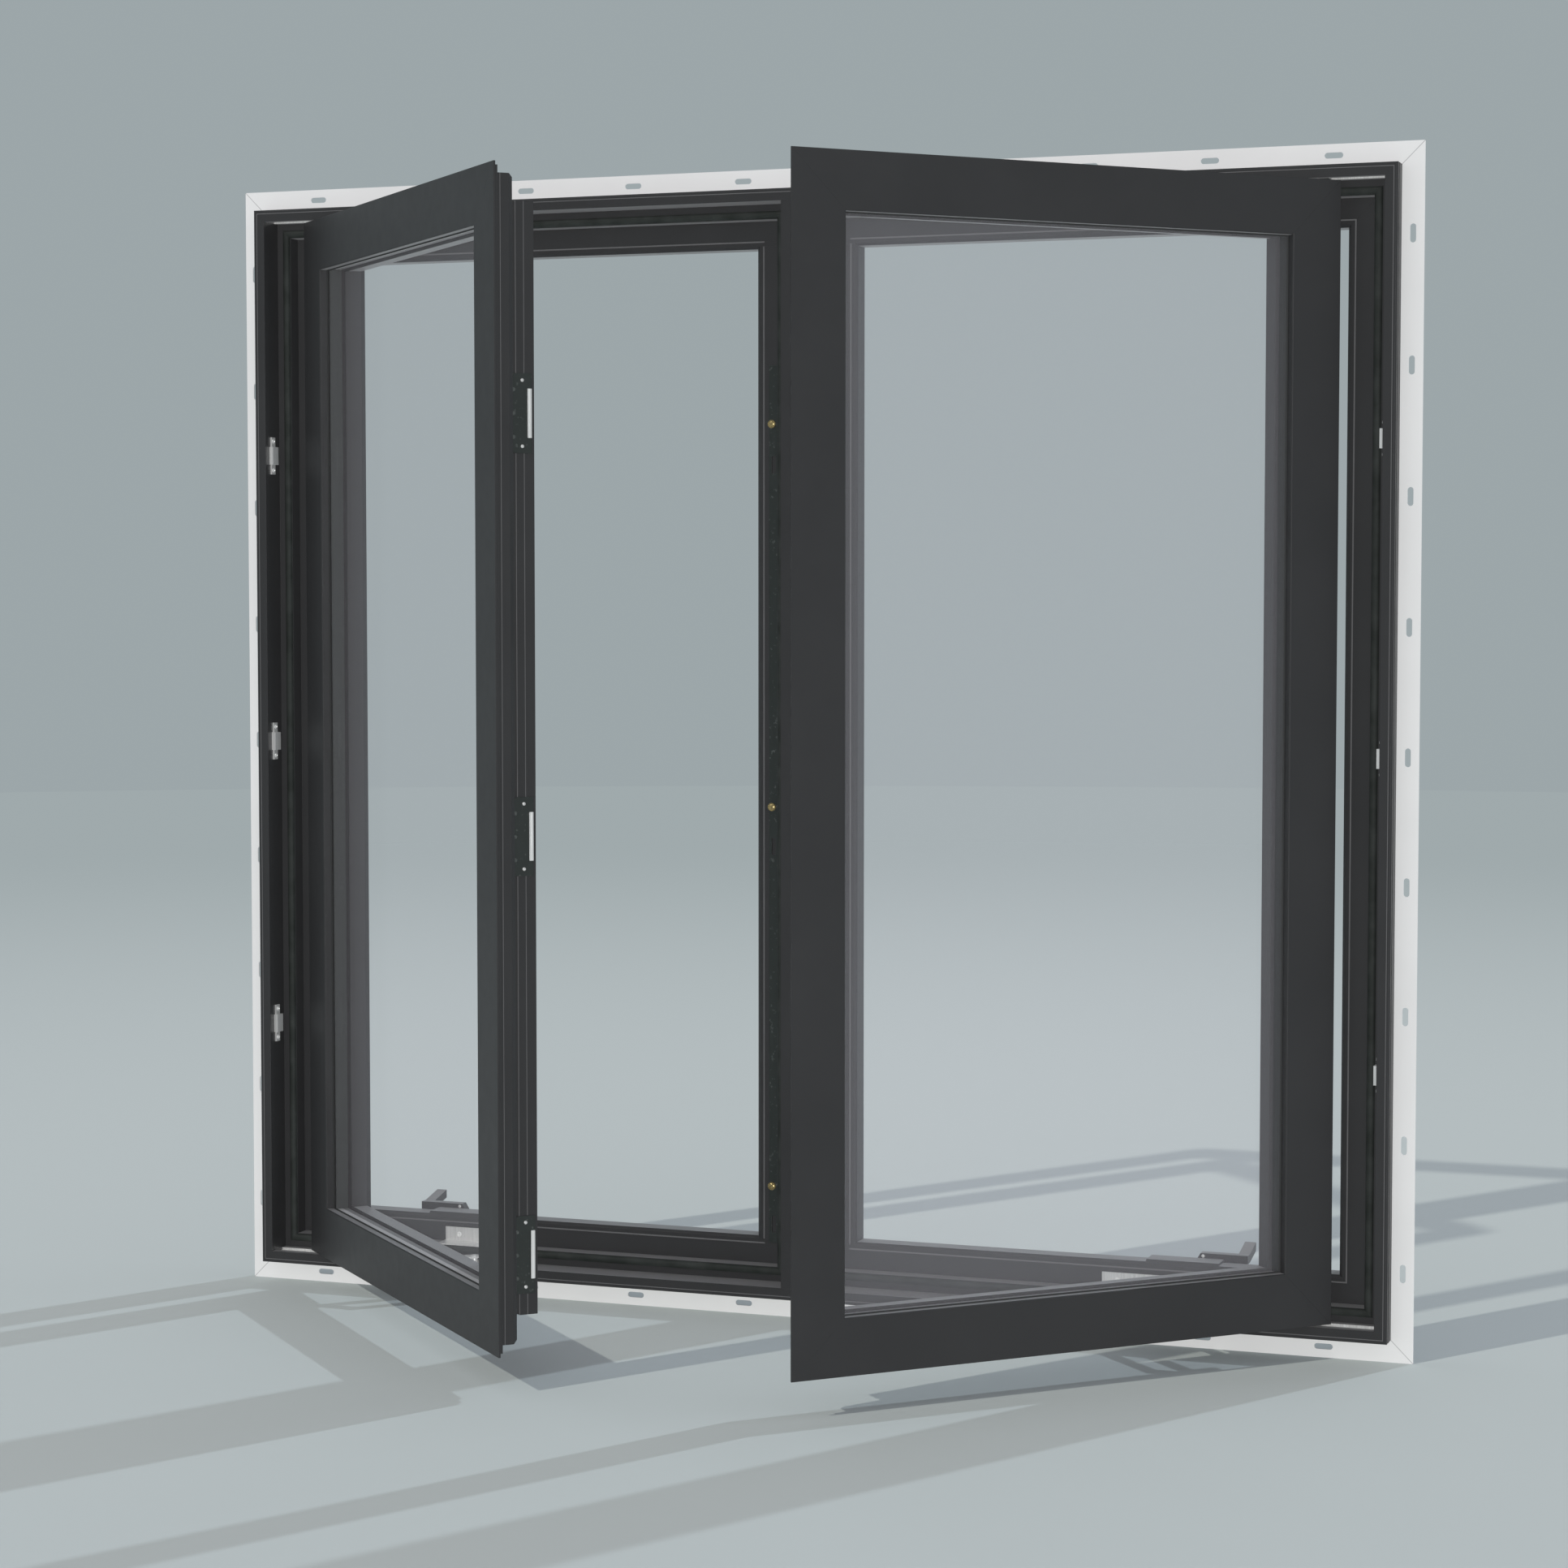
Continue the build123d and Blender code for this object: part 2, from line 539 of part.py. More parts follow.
def closed_sash():
    """The right sash's pieces as they lie when it is closed."""
    bars = mitred_bars(sash_profile(), X_LOCK, X_HINGE, Z_SASH_LOW, Z_SASH_HIGH, Y_SASH)
    y_glass = Y_SASH + GLASS_T
    pane_inset = SASH_FACE - POCKET + POCKET_PLAY
    y_inner = y_glass + GLASS_UNIT - PANE
    outer_pane = rectangle_ring(pane_inset, PANE, y_glass, 0)
    inner_pane = rectangle_ring(pane_inset, PANE, y_inner, 0)
    spacer_inset = SASH_FACE - SPACER_SIGHT - SPACER_W
    spacer = rectangle_ring(spacer_inset, GLASS_UNIT - 2 * PANE, y_glass + PANE, SPACER_W)
    return {"top_rail": [bars["top"]], "bottom_rail": [bars["bottom"]], "hinge_stile": [bars["right"]],
            "lock_stile": [bars["left"]], "glass_panes": [outer_pane, inner_pane], "glass_spacer": [spacer],
            "keepers": keepers(), "sash_arms": both_ends(sash_arm())}


def swing(solid):
    """Takes a piece of the closed right sash to the drawn opening angle."""
    turned = Pos(-X_SHOE_CLOSED, -Y_TRACK, 0) * solid
    return Pos(X_SHOE_CLOSED - SHOE_SLIDE, Y_TRACK, 0) * Rot(0, 0, SASH_ANGLE) * turned


def both_sides(solids):
    """The right side's solids and their mirror images on the left."""
    return solids + [mirror(solid, about=Plane.YZ) for solid in solids]


def frame_hardware():
    """Seals and hardware fixed to the frame, on both sides."""
    return {"frame_seals": both_sides([right_seal()]), "hinge_tracks": both_sides(both_ends(hinge_track())),
            "operator_brackets": both_sides([operator_bracket()]),
            "operator_covers": both_sides([operator_cover()]), "crank_handles": both_sides([crank_handle()]),
            "hinge_snubbers": both_sides(snubbers()), "lock_bars": both_sides([lock_bar()]),
            "lock_rollers": both_sides(lock_rollers())}


def right_moving():
    """The right sash and its linkage, as drawn."""
    made = {name: [swing(solid) for solid in solids] for name, solids in closed_sash().items()}
    made["support_arms"] = both_ends(support_arm())
    made["hinge_shoes"] = both_ends(hinge_shoe())
    made["drive_arm"] = [drive_arm()]
    made["drive_link"] = [drive_link()]
    return made


def all_nodes():
    nodes = {name: [solid] for name, solid in frame_members().items()}
    nodes.update({name: [solid] for name, solid in nail_fins().items()})
    nodes.update(frame_hardware())
    for name, solids in right_moving().items():
        nodes["right_" + name] = solids
        nodes["left_" + name] = [mirror(solid, about=Plane.YZ) for solid in solids]
    return nodes


def main():
    os.makedirs("parts", exist_ok=True)
    for name, shapes in all_nodes().items():
        solids = [solid for shape in shapes for solid in shape.solids()]
        export_step(Compound(children=solids), os.path.join("parts", name + ".step"))


main()
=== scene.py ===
import json
import math

import bmesh
import bpy
from mathutils import Matrix, Vector


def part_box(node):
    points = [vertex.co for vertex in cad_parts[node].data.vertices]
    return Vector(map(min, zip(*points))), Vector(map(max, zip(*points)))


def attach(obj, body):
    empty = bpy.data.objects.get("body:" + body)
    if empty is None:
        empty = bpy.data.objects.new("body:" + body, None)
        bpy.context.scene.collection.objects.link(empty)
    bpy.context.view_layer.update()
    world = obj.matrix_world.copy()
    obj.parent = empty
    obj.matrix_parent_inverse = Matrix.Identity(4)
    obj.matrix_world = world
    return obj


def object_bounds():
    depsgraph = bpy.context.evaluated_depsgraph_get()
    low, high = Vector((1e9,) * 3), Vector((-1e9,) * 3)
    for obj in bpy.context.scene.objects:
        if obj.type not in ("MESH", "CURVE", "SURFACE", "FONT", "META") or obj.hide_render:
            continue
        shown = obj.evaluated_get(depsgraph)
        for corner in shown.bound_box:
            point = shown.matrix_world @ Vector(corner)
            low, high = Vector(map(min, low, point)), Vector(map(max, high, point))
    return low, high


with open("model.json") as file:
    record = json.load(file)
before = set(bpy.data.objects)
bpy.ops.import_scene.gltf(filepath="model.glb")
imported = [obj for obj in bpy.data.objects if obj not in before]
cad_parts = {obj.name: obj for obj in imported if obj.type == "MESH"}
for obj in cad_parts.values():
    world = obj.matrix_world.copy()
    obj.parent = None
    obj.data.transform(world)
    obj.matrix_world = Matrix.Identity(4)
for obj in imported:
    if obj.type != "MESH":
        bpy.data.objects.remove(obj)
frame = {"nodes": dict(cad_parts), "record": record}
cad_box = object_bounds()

NODES = frame["nodes"]
JOINTS = {joint["name"]: joint for joint in frame["record"]["behaviour"]["joints"]}
SIDES = (("left", -1), ("right", 1))
UP = Vector((0.0, 0.0, 1.0))
MM = 0.001

# Camera and stage, in metres and degrees
CAMERA_AT = (1.3564, -3.8099, 0.8502)
CAMERA_YAW = 19.854
CAMERA_PITCH = 3.146
CAMERA_FIELD = 25.93
FLOOR_Z = cad_box[0][2]
FLOOR_R = 11.5
FLOOR_SIDES = 128
FLOOR_FADE = (1.2, 8.0)
FLOOR_COLOUR = (0.49, 0.54, 0.545)
BACKDROP = (0.335, 0.383, 0.398)
HORIZON = (0.350, 0.400, 0.412)
SKY_LIGHT = (0.50, 0.50, 0.53)

# Lamps: direction their light travels in, strength, spread in degrees, colour
REAR_SUN = ((-0.40, -0.72, -0.64), 0.85, 0.9, (0.90, 1.0, 1.08))
FRONT_SUN = ((0.42, 0.64, -0.64), 1.25, 0.9, (1.04, 1.0, 0.90))
FRONT_FILL = ((0.42, 0.64, -0.64), 0.85, 12.0, (1.02, 1.0, 0.96))
SIDE_FILL = ((-0.56, 0.83, -0.02), 1.50, 12.0, (1.0, 1.0, 1.0))
BOUNCE = ((0.0, 0.05, 1.0), 1.30, 12.0, (1.0, 1.0, 1.0))
BACK_FILL = ((0.30, -0.95, -0.02), 1.10, 12.0, (1.0, 1.0, 1.0))

# Colours, linear
CHARCOAL = (0.025, 0.025, 0.026)
CHARCOAL_LIGHT = (0.029, 0.029, 0.030)
# Painted light: the pale colour of level charcoal faces, up and down, in place of light falling on them
CHARCOAL_PAINTED_LIGHT = (0.190, 0.190, 0.194)
# Painted highlight: pale strips in the grooves, in place of the light that groove edges catch
CHARCOAL_PAINTED_HIGHLIGHT = (0.105, 0.105, 0.107)
CHARCOAL_PAINTED_HIGHLIGHT_PALE = (0.120, 0.120, 0.122)
VINYL = (0.73, 0.73, 0.725)
VINYL_SHADE = (0.70, 0.70, 0.695)
VINYL_LINE = (0.42, 0.42, 0.42)
RUBBER = (0.016, 0.019, 0.017)
RUBBER_BLOOM = (0.030, 0.034, 0.032)
GLASS_TINT = (0.95, 0.93, 1.0)
STEEL = (0.74, 0.74, 0.73)
STEEL_DARK = (0.56, 0.56, 0.555)
BRIGHT_STEEL = (0.84, 0.84, 0.83)
BLACK_STEEL = (0.022, 0.027, 0.025)
BLACK_STEEL_WORN = (0.075, 0.084, 0.080)
GREY_STEEL = (0.130, 0.140, 0.135)
NYLON = (0.05, 0.05, 0.052)
SPACER = (0.013, 0.015, 0.015)
SPACER_SHADE = (0.024, 0.027, 0.026)
# Painted light on the spacer's level faces: dimmer inside, bright in the outer part
SPACER_PAINTED_DIM_LIGHT = (0.150, 0.150, 0.153)
SPACER_PAINTED_LIGHT = (0.360, 0.360, 0.366)
GASKET = (0.030, 0.031, 0.031)
# Painted light: the pale colour of level gasket faces, in place of light falling on them
GASKET_PAINTED_LIGHT = (0.200, 0.200, 0.204)
BRASS = (0.62, 0.47, 0.22)
BRASS_DARK = (0.44, 0.33, 0.16)

# Materials
LEVEL_LIMIT = 0.9
MOTTLE_LIMITS = (0.3, 0.7)
WEAR_LIMITS = (0.62, 0.72)
RELIEF_DETAIL = 2.0
STEEL_GRAIN = (900.0, 900.0, 20.0)
GLASS_COAT = 0.35
GLASS_ALPHA = 0.028
# Share of the spacer's depth that takes the bright painted light
SPACER_PAINTED_LIGHT_SHARE = 0.55
BEVEL_SAMPLES = 4
EDGE_SOFTNESS = 0.5 * MM
MITRE_LINE_HALF = 0.6 * MM
ROLLER_HEAD_L = 2.5 * MM

# Heads of screws and rivets: rings in shares of the radius and the height
RING_SIDES = 24
SCREW_HEAD = ((1.0, 0.0), (1.0, 0.35), (0.86, 0.8), (0.66, 1.0))
RIVET_HEAD = ((1.0, 0.0), (1.0, 0.3), (0.85, 0.72), (0.55, 1.0), (0.28, 1.0), (0.2, 0.7))

# Cross recess of a screw: reach and half width of its arms and height, in the same shares
SCREW_RECESS = ((0.58, 0.17, 1.0), (0.46, 0.12, 0.35))
SMALLEST = 1e-6

# Section of a glazing gasket, in shares of its width and height
GASKET_WEDGE = ((0.0, 0.0), (1.0, 0.0), (0.8, 0.4), (0.25, 1.0), (0.0, 1.0))

# Finishing pieces, in metres
GLASS_BITE = 10.5 * MM
GASKET_W = 1.6 * MM
GASKET_H = 1.0 * MM
# Pale strips in the grooves that paint highlights, and their places
LINE_CLEAR = 0.06 * MM
FINE_LINE_W = 0.9 * MM
FINE_LINE_DEPTH = 0.6 * MM
STOP_LINE_W = 1.6 * MM
STOP_LINE_DEPTH = 0.8 * MM
STOP_LINE_INSET = 55.4 * MM
STOP_LINE_T = 56.0 * MM
STOP_LINE_FROM_MIDDLE = 54.0 * MM
FRONT_LINE_INSET = 4.0 * MM
SNUBBER_SCREW_R = 2.9 * MM
SNUBBER_SCREW_SPACING = 36.0 * MM
SNUBBER_PLATE_T = 2.0 * MM
PIECES_APART = 100.0 * MM
PAN_HEAD_H = 0.9 * MM
KEEPER_SCREW_R = 2.0 * MM
KEEPER_SCREW_SPACING = 71.0 * MM
KEEPER_SCREW_INSET = 17.0 * MM
KEEPER_BOSS_R = 2.3 * MM
KEEPER_BOSS_SPACING = 51.0 * MM
KEEPER_BOSS_INSET = 7.0 * MM
STRIKER_T = 1.5 * MM
STRIKER_W = 4.8 * MM
STRIKER_L = 53.0 * MM
STRIKER_INSET = 0.6 * MM
STRIKER_LIFT = 0.3 * MM
STRIKER_BEVEL = 0.25 * MM
RIDGE_W = 1.4 * MM
RIDGE_H = 0.4 * MM
TRACK_BASE = 1.5 * MM
TRACK_SCREW_R = 4.0 * MM
TRACK_SCREW_H = 0.2 * MM
TRACK_SCREW_PLACES = (0.22, 0.52, 0.92)
RIVET_R = 5.0 * MM
RIVET_H = 1.2 * MM
ARM_T = 2.2 * MM
BRACKET_T = 1.5 * MM
BRACKET_UPRIGHT = 18.0 * MM
BRACKET_SCREW_R = 3.2 * MM
BRACKET_SCREW_SPACING = 76.0 * MM
CRANK_PIN_R = 2.0 * MM
CRANK_PIN_END = 9.0 * MM
CRANK_PIN_DROP = 3.3 * MM
CRANK_TOP_DROP = 8.0 * MM
CRANK_PIN_H = 0.6 * MM
ROLLER_BUTTON_R = 3.1 * MM
ROLLER_BUTTON_H = 0.6 * MM

# Painted highlight strips in the edge of a sash: inwards from its outline, back from its face, and depth of
# their groove
SASH_LINES = (
    (11.0 * MM, 11.0 * MM, 0.6 * MM),
    (36.5 * MM, 47.0 * MM, 0.6 * MM),
    (36.5 * MM, 33.3 * MM, 1.0 * MM),
    (36.5 * MM, 37.6 * MM, 1.0 * MM),
)


class Shader:
    """A principled material with a few helpers for its nodes."""

    def __init__(self, name):
        self.material = bpy.data.materials.new(name)
        self.material.use_nodes = True
        self.tree = self.material.node_tree
        self.surface = self.tree.nodes["Principled BSDF"]
        self.place = self.tree.nodes.new("ShaderNodeTexCoord").outputs["Object"]

    def put(self, socket, value):
        self.surface.inputs[socket].default_value = value

    def link(self, output, socket):
        self.tree.links.new(output, self.surface.inputs[socket])

    def stretched(self, scale):
        """Object coordinates stretched by a scale along each axis."""
        mapping = self.tree.nodes.new("ShaderNodeMapping")
        mapping.inputs["Scale"].default_value = scale
        self.tree.links.new(self.place, mapping.inputs["Vector"])
        return mapping.outputs["Vector"]

    def noise(self, scale, detail=3.0, vector=None):
        texture = self.tree.nodes.new("ShaderNodeTexNoise")
        texture.inputs["Scale"].default_value = scale
        texture.inputs["Detail"].default_value = detail
        self.tree.links.new(vector or self.place, texture.inputs["Vector"])
        return texture.outputs["Fac"]

    def ramp(self, factor, low, high, first, second):
        """A colour ramp from `first` at `low` to `second` at `high`."""
        node = self.tree.nodes.new("ShaderNodeValToRGB")
        node.color_ramp.elements[0].position = low
        node.color_ramp.elements[0].color = (*first, 1.0)
        node.color_ramp.elements[1].position = high
        node.color_ramp.elements[1].color = (*second, 1.0)
        self.tree.links.new(factor, node.inputs["Fac"])
        return node.outputs["Color"]

    def range(self, factor, low, high):
        """Maps a factor of 0 to 1 onto low to high."""
        node = self.tree.nodes.new("ShaderNodeMapRange")
        node.inputs["To Min"].default_value = low
        node.inputs["To Max"].default_value = high
        self.tree.links.new(factor, node.inputs["Value"])
        return node.outputs["Result"]

    def bump(self, height, strength, distance, edges=0.0):
        """Fine relief, over edges that catch the light as if rounded by a radius."""
        node = self.tree.nodes.new("ShaderNodeBump")
        node.inputs["Strength"].default_value = strength
        node.inputs["Distance"].default_value = distance
        self.tree.links.new(height, node.inputs["Height"])
        if edges:
            bevel = self.tree.nodes.new("ShaderNodeBevel")
            bevel.samples = BEVEL_SAMPLES
            bevel.inputs["Radius"].default_value = edges
            self.tree.links.new(bevel.outputs["Normal"], node.inputs["Normal"])
        self.link(node.outputs["Normal"], "Normal")

    def mottle(self, first, second, scale, limits=MOTTLE_LIMITS):
        """Two colours that run into each other in patches, the finer the larger the scale."""
        return self.ramp(self.noise(scale), *limits, first, second)

    def roughness(self, low, high, scale):
        """Roughness that wanders between two values in patches."""
        self.link(self.range(self.noise(scale), low, high), "Roughness")

    def relief(self, depth, strength, scale, edges=0.0):
        """Fine grain in the surface."""
        self.bump(self.noise(scale, RELIEF_DETAIL), strength, depth, edges)

    def math(self, operation, first, second=0.0):
        node = self.tree.nodes.new("ShaderNodeMath")
        node.operation = operation
        for socket, value in zip(node.inputs, (first, second)):
            if isinstance(value, (int, float)):
                socket.default_value = value
            else:
                self.tree.links.new(value, socket)
        return node.outputs[0]

    def axes(self):
        node = self.tree.nodes.new("ShaderNodeSeparateXYZ")
        self.tree.links.new(self.place, node.inputs["Vector"])
        return node.outputs

    def along(self, direction):
        """Distance of each point from the origin along a direction."""
        node = self.tree.nodes.new("ShaderNodeVectorMath")
        node.operation = "DOT_PRODUCT"
        node.inputs[1].default_value = direction
        self.tree.links.new(self.place, node.inputs[0])
        return node.outputs["Value"]

    def levelness(self):
        """1 on faces that lie level, up or down, and 0 on upright ones: the mask of the painted light on
        level faces.
        """
        geometry = self.tree.nodes.new("ShaderNodeNewGeometry")
        split = self.tree.nodes.new("ShaderNodeSeparateXYZ")
        self.tree.links.new(geometry.outputs["True Normal"], split.inputs["Vector"])
        return self.math("GREATER_THAN", self.math("ABSOLUTE", split.outputs["Z"]), LEVEL_LIMIT)

    def mix(self, factor, first, second):
        node = self.tree.nodes.new("ShaderNodeMix")
        node.data_type = "RGBA"
        colours = [socket for socket in node.inputs if socket.type == "RGBA"]
        self.tree.links.new(factor, node.inputs["Factor"])
        for socket, value in zip(colours, (first, second)):
            if isinstance(value, tuple):
                socket.default_value = (*value, 1.0)
            else:
                self.tree.links.new(value, socket)
        return [socket for socket in node.outputs if socket.type == "RGBA"][0]


def paint_material():
    """Charcoal finish of the profiles: satin, with a fine even grain, and painted light that makes the
    level faces, up and down, pale.
    """
    shader = Shader("charcoal_profile")
    charcoal = shader.mottle(CHARCOAL, CHARCOAL_LIGHT, scale=7.0)
    # Painted light: level faces, up and down, take a pale colour in place of light
    shader.link(shader.mix(shader.levelness(), charcoal, CHARCOAL_PAINTED_LIGHT), "Base Color")
    shader.put("Specular IOR Level", 0.3)
    shader.roughness(0.36, 0.46, scale=60.0)
    shader.relief(0.4 * MM, strength=0.012, scale=2200.0, edges=EDGE_SOFTNESS)
    return shader.material


def painted_highlight_material():
    """Paler charcoal of the thin strips that lie in the profiles' grooves: painted highlights where the
    groove edges would catch the light.
    """
    shader = Shader("profile_painted_highlight")
    # Painted highlight: the strips' pale charcoal stands in for light caught by groove edges
    shader.link(shader.mottle(CHARCOAL_PAINTED_HIGHLIGHT, CHARCOAL_PAINTED_HIGHLIGHT_PALE, scale=30.0), "Base Color")
    shader.put("Specular IOR Level", 0.3)
    shader.roughness(0.4, 0.5, scale=60.0)
    return shader.material


def fin_material():
    """White vinyl, with a hairline at the mitred corners."""
    shader = Shader("white_vinyl")
    white = shader.mottle(VINYL, VINYL_SHADE, scale=9.0, limits=(0.3, 0.75))
    x, _, z = shader.axes()
    half_width = cad_box[1][0]
    middle = (cad_box[0][2] + cad_box[1][2]) / 2
    half_height = (cad_box[1][2] - cad_box[0][2]) / 2
    in_x = shader.math("SUBTRACT", half_width, shader.math("ABSOLUTE", x))
    in_z = shader.math("SUBTRACT", half_height, shader.math("ABSOLUTE", shader.math("SUBTRACT", z, middle)))
    off = shader.math("ABSOLUTE", shader.math("SUBTRACT", in_x, in_z))
    line = shader.math("LESS_THAN", off, MITRE_LINE_HALF)
    shader.link(shader.mix(line, white, VINYL_LINE), "Base Color")
    shader.roughness(0.45, 0.6, scale=80.0)
    shader.relief(0.4 * MM, strength=0.08, scale=900.0)
    return shader.material


def rubber_material():
    shader = Shader("seal_rubber")
    shader.link(shader.mottle(RUBBER, RUBBER_BLOOM, scale=40.0, limits=(0.35, 0.7)), "Base Color")
    shader.put("Specular IOR Level", 0.2)
    shader.roughness(0.6, 0.72, scale=25.0)
    shader.relief(0.3 * MM, strength=0.08, scale=1600.0)
    return shader.material


def gasket_material():
    """Grey gasket, with painted light that makes it pale where it lies level, as on the profiles."""
    shader = Shader("grey_gasket")
    # Painted light: level faces take a pale colour in place of light
    shader.link(shader.mix(shader.levelness(), GASKET, GASKET_PAINTED_LIGHT), "Base Color")
    shader.put("Specular IOR Level", 0.2)
    shader.roughness(0.55, 0.65, scale=40.0)
    return shader.material


def glass_material():
    """Clear coated glass: mostly seen through, with a faint cool bloom."""
    shader = Shader("clear_glass")
    shader.put("Base Color", (*GLASS_TINT, 1.0))
    shader.put("Metallic", GLASS_COAT)
    shader.put("Alpha", GLASS_ALPHA)
    shader.roughness(0.0, 0.05, scale=3.0)
    return shader.material


def steel_material(name, dark, light):
    """Steel with a fine drawn grain."""
    shader = Shader(name)
    grain = shader.noise(1.0, vector=shader.stretched(STEEL_GRAIN))
    shader.link(shader.ramp(grain, 0.3, 0.7, dark, light), "Base Color")
    shader.put("Metallic", 0.6)
    shader.link(shader.range(grain, low=0.32, high=0.46), "Roughness")
    shader.bump(grain, strength=0.06, distance=0.2 * MM)
    return shader.material


def black_steel_material(name, dark, worn_to):
    """Blackened steel, worn paler in small spots."""
    shader = Shader(name)
    worn = shader.noise(220.0, detail=4.0)
    shader.link(shader.ramp(worn, *WEAR_LIMITS, dark, worn_to), "Base Color")
    shader.put("Metallic", 0.3)
    shader.roughness(0.3, 0.45, scale=90.0)
    shader.bump(worn, strength=0.06, distance=0.2 * MM, edges=EDGE_SOFTNESS)
    return shader.material


def nylon_material():
    shader = Shader("dark_nylon")
    shader.link(shader.mottle(NYLON, RUBBER_BLOOM, scale=120.0), "Base Color")
    shader.roughness(0.35, 0.5, scale=60.0)
    shader.relief(0.3 * MM, strength=0.08, scale=1500.0, edges=EDGE_SOFTNESS)
    return shader.material


def spacer_material(side, matrix):
    """Dark spacer between the panes; where it lies level, painted light makes it bright in its outer part
    and less bright inside.
    """
    shader = Shader(side + "_edge_spacer")
    low, high = own_box(side + "_glass_spacer", matrix)
    inward = matrix.to_3x3() @ Vector((0.0, 1.0, 0.0))
    split = inward.dot(matrix.translation) + low.y + SPACER_PAINTED_LIGHT_SHARE * (high.y - low.y)
    # Painted light on level faces: bright in the outer part, dimmer inside
    painted_level_light = shader.mix(shader.math("LESS_THAN", shader.along(inward), split), SPACER_PAINTED_DIM_LIGHT, SPACER_PAINTED_LIGHT)
    upright = shader.mottle(SPACER, SPACER_SHADE, scale=300.0)
    shader.link(shader.mix(shader.levelness(), upright, painted_level_light), "Base Color")
    shader.roughness(0.45, 0.6, scale=60.0)
    shader.relief(0.3 * MM, strength=0.15, scale=1200.0)
    return shader.material


def roller_material():
    """Brass head on a steel barrel, told apart by depth."""
    shader = Shader("roller_brass")
    head_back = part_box("lock_rollers")[0][1] + ROLLER_HEAD_L
    is_head = shader.math("LESS_THAN", shader.axes()[1], head_back)
    tarnish = shader.mottle(BRASS, BRASS_DARK, scale=900.0, limits=(0.4, 0.8))
    shader.link(shader.mix(is_head, STEEL, tarnish), "Base Color")
    shader.put("Metallic", 1.0)
    shader.roughness(0.2, 0.32, scale=400.0)
    return shader.material


def dress(material, *words):
    """Gives a material to each node whose name holds one of the words."""
    for name, node in NODES.items():
        if any(word in name for word in words):
            node.data.materials.clear()
            node.data.materials.append(material)


def dress_nodes():
    """Puts a finish on every CAD node, and returns those that the added pieces share."""
    steel = steel_material("brushed_steel", STEEL_DARK, STEEL)
    black = black_steel_material("black_steel", BLACK_STEEL, BLACK_STEEL_WORN)
    dress(paint_material(), "frame_head", "frame_sill", "jamb", "mullion", "_rail", "_stile",
          "operator_covers", "crank_handles")
    dress(fin_material(), "nail_fin")
    dress(rubber_material(), "frame_seals")
    dress(glass_material(), "glass_panes")
    for side, sign in SIDES:
        dress(spacer_material(side, sash_axes(side, sign)), side + "_glass_spacer")
    dress(steel, "hinge_tracks", "sash_arms", "support_arms", "drive_", "operator_brackets",
          "hinge_snubbers")
    dress(black, "keepers", "lock_bars")
    dress(nylon_material(), "hinge_shoes")
    brass = roller_material()
    dress(brass, "lock_rollers")
    for name, node in NODES.items():
        if "glass_panes" in name:
            node.visible_shadow = False
    bright = steel_material("bright_steel", STEEL, BRIGHT_STEEL)
    boss = black_steel_material("grey_steel", BLACK_STEEL_WORN, GREY_STEEL)
    # The line finish is the painted highlight of the groove strips
    return {"steel": steel, "bright": bright, "boss": boss, "gasket": gasket_material(), "brass": brass,
            "line": painted_highlight_material()}


def add_piece(name, form, material, body):
    """Makes an object of a bmesh in the row frame, and sets it on its body."""
    bmesh.ops.recalc_face_normals(form, faces=form.faces)
    mesh = bpy.data.meshes.new(name)
    form.to_mesh(mesh)
    form.free()
    mesh.materials.append(material)
    piece = bpy.data.objects.new(name, mesh)
    bpy.context.scene.collection.objects.link(piece)
    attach(piece, body)


def circle(radius, height):
    turns = [2 * math.pi * k / RING_SIDES for k in range(RING_SIDES)]
    return [(radius * math.cos(turn), radius * math.sin(turn), height) for turn in turns]


def cross(reach, half_width, height):
    """Outline of a cross recess as a ring of points."""
    ring = []
    for x, y, z in circle(1.0, height):
        across = max(abs(x), SMALLEST)
        upright = max(abs(y), SMALLEST)
        radius = max(min(reach / across, half_width / upright), min(reach / upright, half_width / across))
        ring.append((radius * x, radius * y, z))
    return ring


def stack(form, rings, place, axis):
    """A closed form of rings, set at a place and standing along an axis."""
    stand = Matrix.Translation(place) @ axis.to_track_quat("Z", "Y").to_matrix().to_4x4()
    made = [[form.verts.new(stand @ Vector(point)) for point in ring] for ring in rings]
    for low, high in zip(made, made[1:]):
        for k in range(RING_SIDES):
            n = (k + 1) % RING_SIDES
            form.faces.new((low[k], low[n], high[n], high[k]))
    form.faces.new(made[0])
    form.faces.new(made[-1])


def screw(form, place, axis, radius, height):
    """Pan head with a cross recess."""
    head = [circle(wide * radius, high * height) for wide, high in SCREW_HEAD]
    recess = [cross(reach * radius, half * radius, high * height) for reach, half, high in SCREW_RECESS]
    stack(form, head + recess, place, axis)


def rivet(form, place, axis, radius, height):
    """Domed rivet head with a small dimple in its middle."""
    stack(form, [circle(wide * radius, high * height) for wide, high in RIVET_HEAD], place, axis)


def bar(form, low, high, bevel, matrix):
    """A bar between two corners in a frame of its own, with bevelled edges."""
    low = Vector(low)
    high = Vector(high)
    part = bmesh.new()
    bmesh.ops.create_cube(part, size=1.0)
    bmesh.ops.scale(part, vec=high - low, verts=part.verts)
    bmesh.ops.translate(part, vec=(low + high) / 2, verts=part.verts)
    bmesh.ops.bevel(part, geom=list(part.edges), offset=bevel, segments=2, affect="EDGES")
    bmesh.ops.transform(part, matrix=matrix, verts=part.verts)
    mesh = bpy.data.meshes.new("bar")
    part.to_mesh(mesh)
    part.free()
    form.from_mesh(mesh)
    bpy.data.meshes.remove(mesh)


